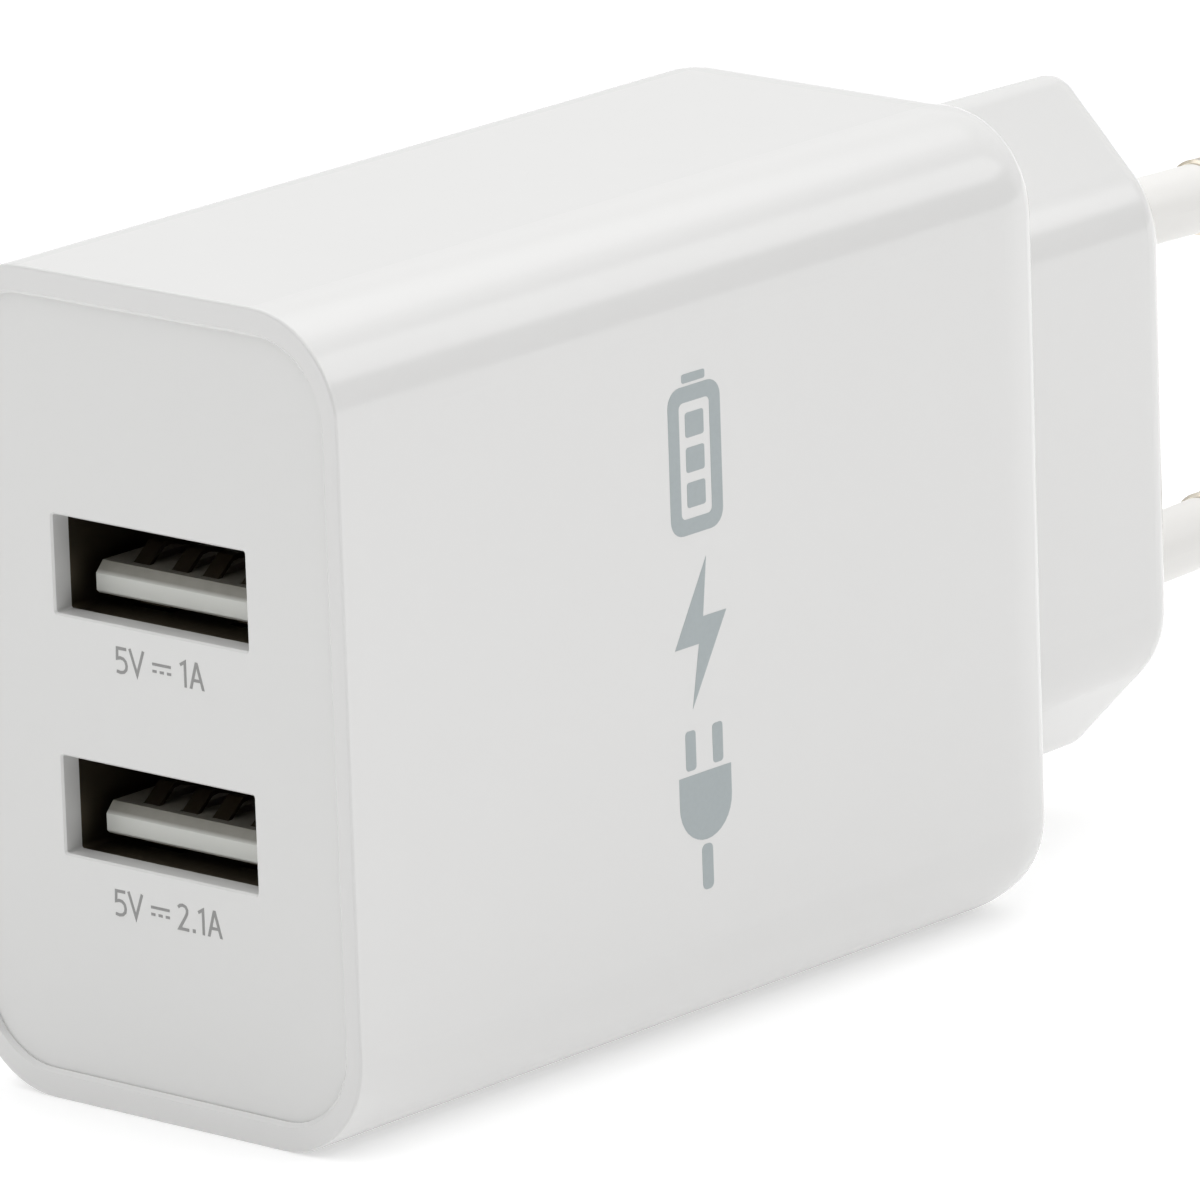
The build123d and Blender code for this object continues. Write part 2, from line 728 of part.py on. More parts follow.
chip_packages = {
    "controller_ic": (-33.0, 9.6, 3.9, 4.9, 1.4, 4, 1.27),
    "bridge_rectifier": (-33.0, -9.6, 3.9, 4.7, 1.4, 2, 2.5),
    "port_detect_ic": (-49.5, 0.0, 1.7, 2.9, 1.1, 3, 0.95),
}


def chip_legs():
    """Gull-wing legs of the solder-side packages, lying on the board."""
    legs = []
    for y, z, y_size, _, _, per_side, pitch in chip_packages.values():
        for side in (1, -1):
            for step in range(per_side):
                leg_z = z + (step - (per_side - 1) / 2) * pitch
                near, far = y + side * y_size / 2, y + side * (y_size / 2 + 0.9)
                leg_span = (leg_z - 0.2, leg_z + 0.2)
                foot_y = sorted((near + side * 0.4, far))
                foot = block((board_back - 0.2, board_back), foot_y, leg_span)
                riser_y = sorted((near + side * 0.3, near + side * 0.5))
                riser = block((board_back - 0.8, board_back), riser_y, leg_span)
                root_y = sorted((near, near + side * 0.4))
                root = block((board_back - 0.8, board_back - 0.6), root_y, leg_span)
                legs.append(foot + riser + root)
    return Compound(children=legs)


def chip_row(y, z_start, count, pitch, size):
    """Row of small two-ended chips on the solder side."""
    x_size, y_size, z_size = size
    x = board_back - x_size / 2
    return [Pos(x, y, z_start + pitch * step) * Box(x_size, y_size, z_size) for step in range(count)]


def chip_resistors():
    size = (0.55, 2.0, 1.25)
    chips = chip_row(-46.2, -4.5, 4, 3.0, size) + chip_row(-36.6, -3.0, 3, 3.0, size)
    return Compound(children=chips + chip_row(-45.0, 12.0, 2, 2.6, size))


def chip_capacitors():
    size = (0.8, 1.6, 0.9)
    chips = chip_row(-30.0, -1.5, 2, 3.0, size) + chip_row(-49.9, 3.4, 2, 1.5, size)
    return Compound(children=chips + chip_row(-49.9, -4.9, 2, 1.5, size))


def insulation_sheet():
    """Stiff film between the solder side and the housing wall."""
    inner_x = -(width / 2 - wall)
    return block((inner_x + 0.02, inner_x + 0.27), (skirt_back_y + 1.5, board_rear_y), (-14.0, 14.0))


def build_parts():
    parts = {"housing_shell": housing_shell(), "front_panel": front_panel()}
    for name, side in sides.items():
        parts[f"pin_{name}"] = plug_pin(side)
        parts[f"pin_sleeve_{name}"] = pin_sleeve(side)
        parts[f"mains_contact_{name}"] = mains_contact(side)
    for name, z in port_heights.items():
        parts[f"usb_shell_{name}"] = usb_shell(z)
        parts[f"usb_insulator_{name}"] = usb_insulator(z)
        parts[f"usb_contacts_{name}"] = usb_contacts(z)
    for name, place in input_capacitor_places.items():
        parts[f"input_capacitor_{name}"] = capacitor_can(place, *input_capacitor_size)
    for name, place in output_capacitor_places.items():
        parts[f"output_capacitor_{name}"] = capacitor_can(place, *output_capacitor_size)
    parts["capacitor_leads"] = capacitor_leads()
    parts["main_board"] = main_board()
    parts["transformer_core_front"] = transformer_core(-1)
    parts["transformer_core_rear"] = transformer_core(1)
    parts["transformer_bobbin"] = transformer_bobbin()
    parts["transformer_winding"] = transformer_coil(0.02, coil_build)
    parts["transformer_tape"] = transformer_coil(coil_build + 0.04, tape_sheet)
    parts["transformer_pins"] = transformer_pins()
    parts["fuse_resistor"] = axial_body(fuse_place, *fuse_size)
    parts["output_diode"] = axial_body(diode_place, *diode_size)
    parts["axial_leads"] = axial_leads()
    parts["filter_choke_core"] = inductor_core()
    parts["filter_choke_winding"] = inductor_winding()
    parts["filter_choke_leads"] = inductor_leads()
    parts["y_capacitor"] = y_capacitor()
    parts["y_capacitor_leads"] = y_capacitor_leads() - parts["y_capacitor"]
    parts["optocoupler"] = optocoupler()
    parts["optocoupler_legs"] = optocoupler_legs()
    for name, (y, z, y_size, z_size, x_size, _, _) in chip_packages.items():
        parts[name] = chip_body(y, z, y_size, z_size, x_size)
    parts["chip_legs"] = chip_legs()
    parts["chip_resistors"] = chip_resistors()
    parts["chip_capacitors"] = chip_capacitors()
    parts["insulation_sheet"] = insulation_sheet()
    return parts


os.makedirs("parts", exist_ok=True)
for node, shape in build_parts().items():
    export_step(shape, f"parts/{node}.step")
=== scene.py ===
from math import cos, pi, radians, sin

import bpy
from mathutils import Euler, Matrix, Vector


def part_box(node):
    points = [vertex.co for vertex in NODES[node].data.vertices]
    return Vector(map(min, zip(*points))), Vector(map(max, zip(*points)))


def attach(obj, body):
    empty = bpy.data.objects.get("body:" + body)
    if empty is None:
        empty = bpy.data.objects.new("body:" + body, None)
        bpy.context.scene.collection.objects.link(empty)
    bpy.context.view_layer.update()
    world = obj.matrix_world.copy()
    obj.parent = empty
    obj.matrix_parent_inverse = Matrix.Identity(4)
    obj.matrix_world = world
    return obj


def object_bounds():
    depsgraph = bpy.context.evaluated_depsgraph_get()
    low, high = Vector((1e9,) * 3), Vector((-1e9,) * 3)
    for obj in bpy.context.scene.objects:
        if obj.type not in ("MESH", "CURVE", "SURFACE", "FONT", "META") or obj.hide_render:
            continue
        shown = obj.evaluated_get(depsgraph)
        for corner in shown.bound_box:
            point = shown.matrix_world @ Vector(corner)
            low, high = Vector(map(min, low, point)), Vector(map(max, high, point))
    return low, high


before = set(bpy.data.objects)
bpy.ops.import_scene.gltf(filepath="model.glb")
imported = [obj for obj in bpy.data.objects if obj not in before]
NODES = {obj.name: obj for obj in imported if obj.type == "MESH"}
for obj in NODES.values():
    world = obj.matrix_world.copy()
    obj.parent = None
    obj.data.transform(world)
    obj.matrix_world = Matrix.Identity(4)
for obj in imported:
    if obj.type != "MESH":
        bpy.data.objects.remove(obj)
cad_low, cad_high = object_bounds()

# Two-port USB wall charger, in metres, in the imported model's frame:
# +Y points into the wall socket, +Z is up and the printed broad side faces +X.

MM = 0.001
SIDES = ("upper", "lower")

# Places that come from the frame
housing_low, housing_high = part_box("housing_shell")
floor_height = cad_low.z
broad_side = housing_high.x
panel_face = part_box("front_panel")[0].y

# Camera: a long lens that looks down on the printed side and the ports
lens = 406.18
sensor = 36.0
camera_azimuth = radians(41.606)
camera_elevation = radians(15.125)
camera_roll = radians(1.912)
camera_distance = 0.6493
aim_behind_front = 18.14 * MM
aim_height = 3.24 * MM
aim = Vector((broad_side, housing_low.y + aim_behind_front, aim_height))

# Light: a glowing floor, an overhead lamp and a dome of panels
floor_glow = 0.35
floor_reach = 6.0
overhead_place = (-0.40, 0.45, 0.95)
overhead_target = (-0.40, 0.45, 0.0)
overhead_size = (1.05, 1.2)
overhead_power = 1.2
panel_softness = 0.04
low_band = (None, 0.34)
middle_band = (0.34, 0.66)
top_band = (0.66, None)
front = (None, 0.0)
rear = (0.0, None)
front_left = (None, 0.0)
front_right = (0.0, None)
rear_left = (None, 0.35)
rear_right = (0.35, None)
all_round = (None, None)
# Level of each panel of the dome, then its span of directions in X, Y and Z
sky_panels = (
    (0.50, front_left, front, low_band),
    (0.95, front_left, front, middle_band),
    (0.05, front_right, front, middle_band),
    (0.74, rear_left, rear, low_band),
    (0.22, rear_right, rear, low_band),
    (0.82, rear_left, rear, middle_band),
    (2.12, rear_right, rear, middle_band),
    (1.51, all_round, all_round, top_band),
)

# Colours of the pieces that show from outside
housing_white = (0.706, 0.704, 0.697)
panel_white = (0.706, 0.706, 0.697)
sleeve_white = (0.765, 0.755, 0.735)
tongue_white = (0.75, 0.76, 0.72)
# The port steel and the contacts get near-black colours: painted shade for the inside of the ports.
port_metal_painted_shade = (0.12, 0.10, 0.07)
contact_metal_painted_shade = (0.13, 0.11, 0.08)
pictogram_grey = (0.352, 0.392, 0.402)
caption_grey = (0.27, 0.27, 0.265)

# Printing: the pictogram is on the broad side, and the captions are on the front panel
ink_thickness = 0.012 * MM
ink_sink = 0.004 * MM
pictogram_behind_front = 25.4 * MM
cap_height = 1.35
stroke_share = 0.115
# Name, signs, then the middle of the baseline in X and Z, in millimetres
captions = (
    ("upper", "5V = 1A", 0.47, 1.3),
    ("lower", "5V = 2.1A", 0.35, -10.9),
)


# --- Stage, light and camera ---------------------------------------------------------------


def add_camera():
    back = Vector((
        sin(camera_azimuth) * cos(camera_elevation),
        -cos(camera_azimuth) * cos(camera_elevation),
        sin(camera_elevation),
    ))
    data = bpy.data.cameras.new("camera")
    data.lens = lens
    data.sensor_width = sensor
    data.clip_start = 0.05
    data.clip_end = 20.0
    camera = bpy.data.objects.new("camera", data)
    camera.location = aim + back * camera_distance
    level = (-back).to_track_quat("-Z", "Y")
    camera.rotation_mode = "QUATERNION"
    camera.rotation_quaternion = level @ Euler((0, 0, -camera_roll)).to_quaternion()
    bpy.context.scene.collection.objects.link(camera)
    bpy.context.scene.camera = camera


def add_overhead_lamp():
    data = bpy.data.lights.new("overhead", "AREA")
    data.shape = "RECTANGLE"
    data.size, data.size_y = overhead_size
    data.energy = overhead_power
    lamp = bpy.data.objects.new("overhead", data)
    lamp.location = overhead_place
    lamp.rotation_mode = "QUATERNION"
    lamp.rotation_quaternion = (Vector(overhead_target) - Vector(overhead_place)).to_track_quat("-Z", "Y")
    bpy.context.scene.collection.objects.link(lamp)


def add_world():
    """Dome of soft-edged pale panels."""
    world = bpy.data.worlds.new("studio")
    world.use_nodes = True
    tree = world.node_tree

    def ramp(source, low, high):
        node = tree.nodes.new("ShaderNodeMapRange")
        node.inputs["From Min"].default_value = low
        node.inputs["From Max"].default_value = high
        tree.links.new(source, node.inputs["Value"])
        return node.outputs["Result"]

    def maths(operation, first, second):
        node = tree.nodes.new("ShaderNodeMath")
        node.operation = operation
        for socket, value in zip(node.inputs, (first, second)):
            if isinstance(value, float):
                socket.default_value = value
            else:
                tree.links.new(value, socket)
        return node.outputs["Value"]

    direction = tree.nodes.new("ShaderNodeTexCoord").outputs["Generated"]
    parts = tree.nodes.new("ShaderNodeSeparateXYZ")
    tree.links.new(direction, parts.inputs["Vector"])
    total = 0.0
    for level, *spans in sky_panels:
        share = level
        for axis, (low, high) in zip("XYZ", spans):
            source = parts.outputs[axis]
            if low is not None:
                rise = ramp(source, low - panel_softness, low + panel_softness)
                share = maths("MULTIPLY", share, rise)
            if high is not None:
                fall = ramp(source, high + panel_softness, high - panel_softness)
                share = maths("MULTIPLY", share, fall)
        total = maths("ADD", total, share)
    background = tree.nodes["Background"]
    background.inputs["Color"].default_value = (1.0, 1.0, 1.0, 1.0)
    tree.links.new(total, background.inputs["Strength"])
    bpy.context.scene.world = world


def add_floor():
    mesh = bpy.data.meshes.new("floor")
    corners = [(-1, -1), (1, -1), (1, 1), (-1, 1)]
    places = [(x * floor_reach, y * floor_reach, floor_height) for x, y in corners]
    mesh.from_pydata(places, [], [(0, 1, 2, 3)])
    floor = bpy.data.objects.new("floor", mesh)
    bpy.context.scene.collection.objects.link(floor)
    mesh.materials.append(table_finish())


# --- Shader helpers ------------------------------------------------------------------------


class Finish:
    """A Principled material with helpers for its procedural detail, in the part's own coordinates."""

    def __init__(self, name, colour, roughness, metallic=0.0):
        self.material = bpy.data.materials.new(name)
        self.material.use_nodes = True
        self.tree = self.material.node_tree
        self.shader = self.tree.nodes["Principled BSDF"]
        self.shader.inputs["Base Color"].default_value = (*colour, 1.0)
        self.shader.inputs["Roughness"].default_value = roughness
        self.shader.inputs["Metallic"].default_value = metallic
        self.roughness = roughness
        self.place = self.node("ShaderNodeTexCoord").outputs["Object"]

    def node(self, kind, **settings):
        made = self.tree.nodes.new(kind)
        for name, value in settings.items():
            setattr(made, name, value)
        return made

    def link(self, source, target):
        self.tree.links.new(source, target)

    def set(self, name, value):
        self.shader.inputs[name].default_value = value

    def stretched(self, stretch):
        """The part's coordinates, scaled along each axis."""
        mapping = self.node("ShaderNodeMapping", vector_type="POINT")
        mapping.inputs["Scale"].default_value = stretch
        self.link(self.place, mapping.inputs["Vector"])
        return mapping.outputs["Vector"]

    def noise(self, size, detail=2.0, stretch=None):
        """Cloudy pattern, 0 to 1, whose features are about size metres across."""
        noise = self.node("ShaderNodeTexNoise")
        noise.inputs["Scale"].default_value = 1.0 / size
        noise.inputs["Detail"].default_value = detail
        self.link(self.stretched(stretch) if stretch else self.place, noise.inputs["Vector"])
        return noise.outputs["Fac"]

    def bands(self, pitch, axis, distortion=0.0):
        """Even bands, 0 to 1, across one axis. At scale 1 the wave repeats every 2 pi / 20."""
        wave = self.node("ShaderNodeTexWave", wave_type="BANDS", bands_direction=axis)
        wave.inputs["Scale"].default_value = 2 * pi / 20 / pitch
        wave.inputs["Distortion"].default_value = distortion
        self.link(self.place, wave.inputs["Vector"])
        return wave.outputs["Fac"]

    def cells(self, size, metric="EUCLIDEAN"):
        """Distance to the nearest point of a scattered set."""
        cells = self.node("ShaderNodeTexVoronoi", distance=metric)
        cells.inputs["Scale"].default_value = 1.0 / size
        self.link(self.place, cells.inputs["Vector"])
        return cells.outputs["Distance"]

    def spread(self, value, low, high, to_low=0.0, to_high=1.0):
        """Maps a value from one range onto another, clamped."""
        mapped = self.node("ShaderNodeMapRange", clamp=True)
        ends = {"From Min": low, "From Max": high, "To Min": to_low, "To Max": to_high}
        for name, number in ends.items():
            mapped.inputs[name].default_value = number
        self.link(value, mapped.inputs["Value"])
        return mapped.outputs["Result"]

    def maths(self, operation, first, second):
        """One sum; either side may be a number."""
        sum_node = self.node("ShaderNodeMath", operation=operation)
        for socket, value in zip(sum_node.inputs, (first, second)):
            if isinstance(value, (int, float)):
                socket.default_value = value
            else:
                self.link(value, socket)
        return sum_node.outputs["Value"]

    def axis(self, name):
        """One coordinate of the part's own position."""
        parts = self.node("ShaderNodeSeparateXYZ")
        self.link(self.place, parts.inputs["Vector"])
        return parts.outputs[name]

    def within(self, value, low, high, soft=0.02 * MM):
        """1 where a value is inside a span and 0 outside it."""
        above = self.spread(value, low - soft, low + soft)
        below = self.spread(value, high - soft, high + soft, 1.0, 0.0)
        return self.maths("MULTIPLY", above, below)

    def mix(self, share, first, second):
        """Colour between two, by a share that is a pattern."""
        mix = self.node("ShaderNodeMix", data_type="RGBA")
        for socket, value in ((mix.inputs[6], first), (mix.inputs[7], second)):
            if isinstance(value, tuple):
                socket.default_value = (*value, 1.0)
            else:
                self.link(value, socket)
        self.link(share, mix.inputs[0])
        return mix.outputs[2]

    def paint(self, colour):
        self.link(colour, self.shader.inputs["Base Color"])

    def vary_roughness(self, pattern, amount):
        low, high = self.roughness - amount, self.roughness + amount
        self.link(self.spread(pattern, 0.3, 0.7, low, high), self.shader.inputs["Roughness"])

    def bump(self, pattern, depth, strength=1.0):
        """Adds relief that is depth metres high, over any relief that is there already."""
        bump = self.node("ShaderNodeBump")
        bump.inputs["Strength"].default_value = strength
        bump.inputs["Distance"].default_value = depth
        self.link(pattern, bump.inputs["Height"])
        target = self.shader.inputs["Normal"]
        if target.is_linked:
            self.link(target.links[0].from_socket, bump.inputs["Normal"])
        self.link(bump.outputs["Normal"], target)


def shade(colour, factor):
    return tuple(min(1.0, channel * factor) for channel in colour)


# --- Finishes ------------------------------------------------------------------------------


def table_finish():
    """White opal light table: fine grain and a faint glow of its own, which softens the shadow."""
    finish = Finish("light_table", (0.74, 0.74, 0.74), 0.9)
    finish.set("Specular IOR Level", 0.1)
    finish.set("Emission Color", (1.0, 1.0, 1.0, 1.0))
    finish.set("Emission Strength", floor_glow)
    grain = finish.noise(0.8 * MM, 4.0)
    finish.paint(finish.mix(grain, (0.735, 0.735, 0.735), (0.745, 0.745, 0.745)))
    finish.bump(grain, 0.01 * MM, 0.3)
    return finish.material


def moulded_finish(name, colour, roughness, grain_size, grain_depth):
    """Moulded plastic: faint flow mottling, a fine grain and a slightly uneven gloss."""
    finish = Finish(name, colour, roughness)
    mottle = finish.noise(7.0 * MM, 3.0)
    finish.paint(finish.mix(mottle, shade(colour, 0.994), shade(colour, 1.006)))
    finish.vary_roughness(finish.noise(1.6 * MM, 4.0), 0.1 * roughness)
    finish.bump(finish.noise(5.0 * MM, 1.0), 0.004 * MM, 0.5)
    finish.bump(finish.noise(grain_size, 2.0), grain_depth)
    return finish


def housing_finish():
    finish = moulded_finish("housing_plastic_moulded", housing_white, 0.13, 0.16 * MM, 0.0003 * MM)
    finish.set("IOR", 1.5)
    return finish.material


def panel_finish():
    finish = moulded_finish("panel_plastic_moulded", panel_white, 0.17, 0.14 * MM, 0.0003 * MM)
    return finish.material


def sleeve_finish():
    finish = moulded_finish("sleeve_plastic_moulded", sleeve_white, 0.42, 0.12 * MM, 0.001 * MM)
    return finish.material


def tongue_finish():
    """White insulator, darkened from its bevel backwards by painted shade for the inside of the port."""
    finish = moulded_finish("tongue_plastic_moulded", tongue_white, 0.45, 0.1 * MM, 0.001 * MM)
    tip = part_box("usb_insulator_upper")[0].y
    # Painted shade: the tongue turns dark grey from just behind its tip backwards, standing for the shade
    # under the port's shell.
    painted_shade = finish.spread(finish.axis("Y"), tip + 0.02 * MM, tip + 0.16 * MM, 0.0, 1.0)
    painted_shade_colours = finish.mix(finish.noise(0.5 * MM, 3.0), (0.33, 0.32, 0.28), (0.42, 0.41, 0.37))
    finish.paint(finish.mix(painted_shade, tongue_white, painted_shade_colours))
    return finish.material


def pin_finish():
    """Turned and nickel-plated brass: rings round the pin and a trace of brass in the plating."""
    finish = Finish("pin_metal_turned", (0.66, 0.60, 0.50), 0.2, 1.0)
    tarnish = finish.spread(finish.noise(1.8 * MM, 4.0), 0.35, 0.75)
    finish.paint(finish.mix(tarnish, (0.70, 0.655, 0.57), (0.56, 0.49, 0.37)))
    finish.vary_roughness(finish.noise(0.6 * MM, 3.0), 0.06)
    finish.bump(finish.bands(0.07 * MM, "Y", 1.2), 0.0012 * MM)
    finish.bump(finish.noise(0.35 * MM, 2.0), 0.001 * MM)
    return finish.material


def steel_finish():
    """Rolled sheet with long fine scratches along the receptacle; its near-black colour is painted shade
    for the inside of the port.
    """
    finish = Finish("port_steel_rolled", port_metal_painted_shade, 0.5, 1.0)
    scratches = finish.noise(0.12 * MM, 5.0, stretch=(1.0, 0.06, 1.0))
    finish.paint(finish.mix(scratches, shade(port_metal_painted_shade, 0.8), shade(port_metal_painted_shade, 1.15)))
    finish.vary_roughness(scratches, 0.08)
    finish.bump(scratches, 0.0015 * MM)
    return finish.material


def plated_finish(name, colour, roughness):
    """Drawn and plated spring metal."""
    finish = Finish(name, colour, roughness, 1.0)
    drawn = finish.noise(0.09 * MM, 4.0, stretch=(1.0, 0.1, 1.0))
    finish.paint(finish.mix(drawn, shade(colour, 0.85), shade(colour, 1.1)))
    finish.vary_roughness(finish.noise(0.5 * MM, 3.0), 0.06)
    finish.bump(drawn, 0.001 * MM)
    return finish.material


def board_finish():
    """Solder mask over copper tracks on glass cloth."""
    finish = Finish("board_laminate_masked", (0.03, 0.14, 0.06), 0.36)
    tracks = finish.spread(finish.cells(3.2 * MM, "CHEBYCHEV"), 0.30, 0.34)
    finish.paint(finish.mix(tracks, (0.045, 0.20, 0.085), (0.02, 0.10, 0.045)))
    weave = finish.maths("MULTIPLY", finish.bands(0.5 * MM, "Y"), finish.bands(0.5 * MM, "Z"))
    finish.vary_roughness(finish.noise(0.9 * MM, 3.0), 0.06)
    finish.bump(finish.maths("SUBTRACT", 1.0, tracks), 0.03 * MM)
    finish.bump(weave, 0.004 * MM)
    return finish.material


def ferrite_finish():
    """Sintered and ground ferrite with a speckled, pitted skin."""
    finish = Finish("ferrite_sintered", (0.055, 0.055, 0.06), 0.6, 0.3)
    speckle = finish.spread(finish.cells(0.25 * MM), 0.1, 0.6)
    finish.paint(finish.mix(speckle, (0.085, 0.085, 0.09), (0.04, 0.04, 0.045)))
    finish.vary_roughness(finish.noise(0.7 * MM, 4.0), 0.1)
    finish.bump(finish.noise(0.18 * MM, 5.0), 0.01 * MM)
    return finish.material


def phenolic_finish():
    finish = moulded_finish("bobbin_phenolic", (0.035, 0.034, 0.033), 0.42, 0.15 * MM, 0.003 * MM)
    return finish.material


def winding_finish(name, axis):
    """Enamelled wire laid turn by turn across one axis."""
    finish = Finish(name, (0.56, 0.24, 0.10), 0.3, 0.85)
    turns = finish.bands(0.22 * MM, axis, 0.4)
    finish.paint(finish.mix(turns, (0.30, 0.11, 0.04), (0.64, 0.29, 0.12)))
    finish.vary_roughness(finish.noise(0.8 * MM, 3.0), 0.06)
    finish.bump(turns, 0.06 * MM)
    finish.set("Coat Weight", 0.6)
    return finish.material


def tape_finish():
    """Polyester tape whose overlaps and wrinkles show."""
    finish = Finish("transformer_tape_polyester", (0.72, 0.50, 0.06), 0.28)
    overlap = finish.bands(2.4 * MM, "Y", 0.2)
    finish.paint(finish.mix(overlap, (0.66, 0.44, 0.045), (0.76, 0.55, 0.08)))
    finish.vary_roughness(finish.noise(1.2 * MM, 3.0), 0.07)
    finish.bump(finish.noise(1.5 * MM, 3.0, stretch=(1.0, 0.4, 1.0)), 0.04 * MM)
    return finish.material


def tinned_finish():
    """Tinned copper, dulled in patches by flux and handling."""
    finish = Finish("tinned_wire_drawn", (0.62, 0.61, 0.58), 0.32, 1.0)
    dull = finish.spread(finish.noise(0.9 * MM, 4.0), 0.4, 0.7)
    finish.paint(finish.mix(dull, (0.66, 0.655, 0.63), (0.48, 0.47, 0.44)))
    finish.vary_roughness(finish.noise(0.4 * MM, 3.0), 0.1)
    finish.bump(finish.noise(0.12 * MM, 3.0), 0.002 * MM)
    return finish.material


def capacitor_finish(node):
    """Shrink sleeve with a pale polarity stripe, over a can whose aluminium top is bare."""
    low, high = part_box(node)
    middle = (low + high) / 2
    navy = (0.02, 0.025, 0.05)
    half_stripe = 1.0 * MM
    past_end = 1.0 * MM
    top_thickness = 0.35 * MM
    finish = Finish(f"{node}_sleeve", navy, 0.3)
    across = finish.within(finish.axis("Y"), middle.y - half_stripe, middle.y + half_stripe)
    upper_half = finish.within(finish.axis("Z"), middle.z, high.z + past_end)
    stripe = finish.maths("MULTIPLY", across, upper_half)
    marks = finish.within(finish.bands(2.6 * MM, "X"), 0.55, 1.5, 0.02)
    stripe_colour = finish.mix(marks, (0.55, 0.56, 0.58), (0.05, 0.06, 0.09))
    sleeve = finish.mix(stripe, navy, stripe_colour)
    bare = finish.within(finish.axis("X"), high.x - top_thickness, high.x + past_end)
    finish.paint(finish.mix(bare, sleeve, (0.62, 0.62, 0.63)))
    finish.link(bare, finish.shader.inputs["Metallic"])
    finish.vary_roughness(finish.noise(0.8 * MM, 3.0), 0.07)
    finish.bump(finish.noise(1.1 * MM, 3.0), 0.012 * MM)
    return finish.material


def banded_finish(name, node, colour, stripes, roughness):
    """Coated round body that lies along Z.

    Each coloured band is given as (share of the length, half width, colour).
    """
    low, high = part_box(node)
    finish = Finish(name, colour, roughness)
    along = finish.axis("Z")
    shown = finish.mix(finish.noise(1.2 * MM, 3.0), shade(colour, 0.9), shade(colour, 1.1))
    for share, half_width, stripe in stripes:
        middle = low.z + share * (high.z - low.z)
        band = finish.within(along, middle - half_width, middle + half_width)
        shown = finish.mix(band, shown, stripe)
    finish.paint(shown)
    finish.vary_roughness(finish.noise(0.6 * MM, 3.0), 0.06)
    finish.bump(finish.noise(0.7 * MM, 3.0), 0.01 * MM)
    return finish.material


def epoxy_finish(name, colour, roughness, grain_depth):
    """Moulded or dipped epoxy."""
    finish = Finish(name, colour, roughness)
    finish.paint(finish.mix(finish.noise(0.9 * MM, 4.0), shade(colour, 0.8), shade(colour, 1.2)))
    finish.vary_roughness(finish.noise(0.5 * MM, 3.0), 0.08)
    finish.bump(finish.noise(0.1 * MM, 3.0), grain_depth)
    return finish.material


def chip_finish(name, body_colour):
    """Small chip part whose two end faces are tinned."""
    finish = Finish(name, body_colour, 0.4)
    normal = finish.node("ShaderNodeNewGeometry").outputs["Normal"]
    parts = finish.node("ShaderNodeSeparateXYZ")
    finish.link(normal, parts.inputs["Vector"])
    ends = finish.spread(finish.maths("ABSOLUTE", parts.outputs["Y"], 0.0), 0.6, 0.8)
    body = finish.mix(finish.noise(0.3 * MM, 3.0), shade(body_colour, 0.85), shade(body_colour, 1.15))
    finish.paint(finish.mix(ends, body, (0.62, 0.62, 0.60)))
    finish.link(ends, finish.shader.inputs["Metallic"])
    finish.vary_roughness(finish.noise(0.2 * MM, 3.0), 0.08)
    finish.bump(finish.noise(0.08 * MM, 3.0), 0.002 * MM)
    return finish.material


def film_finish():
    """Milky polyester film with faint draw lines."""
    colour = (0.74, 0.74, 0.70)
    finish = Finish("insulating_film_drawn", colour, 0.3)
    lines = finish.noise(0.6 * MM, 3.0, stretch=(1.0, 0.1, 1.0))
    finish.paint(finish.mix(lines, shade(colour, 0.97), shade(colour, 1.02)))
    finish.vary_roughness(finish.noise(2.0 * MM, 3.0), 0.05)
    finish.bump(lines, 0.002 * MM)
    return finish.material


def ink_finish(name, colour):
    """Pad-printed ink: slightly uneven cover with a faint mesh grain."""
    finish = Finish(name, colour, 0.38)
    cover = finish.noise(0.25 * MM, 4.0)
    finish.paint(finish.mix(cover, shade(colour, 0.95), shade(colour, 1.05)))
    finish.vary_roughness(finish.noise(0.5 * MM, 3.0), 0.05)
    finish.bump(finish.noise(0.06 * MM, 2.0), 0.0008 * MM)
    return finish.material


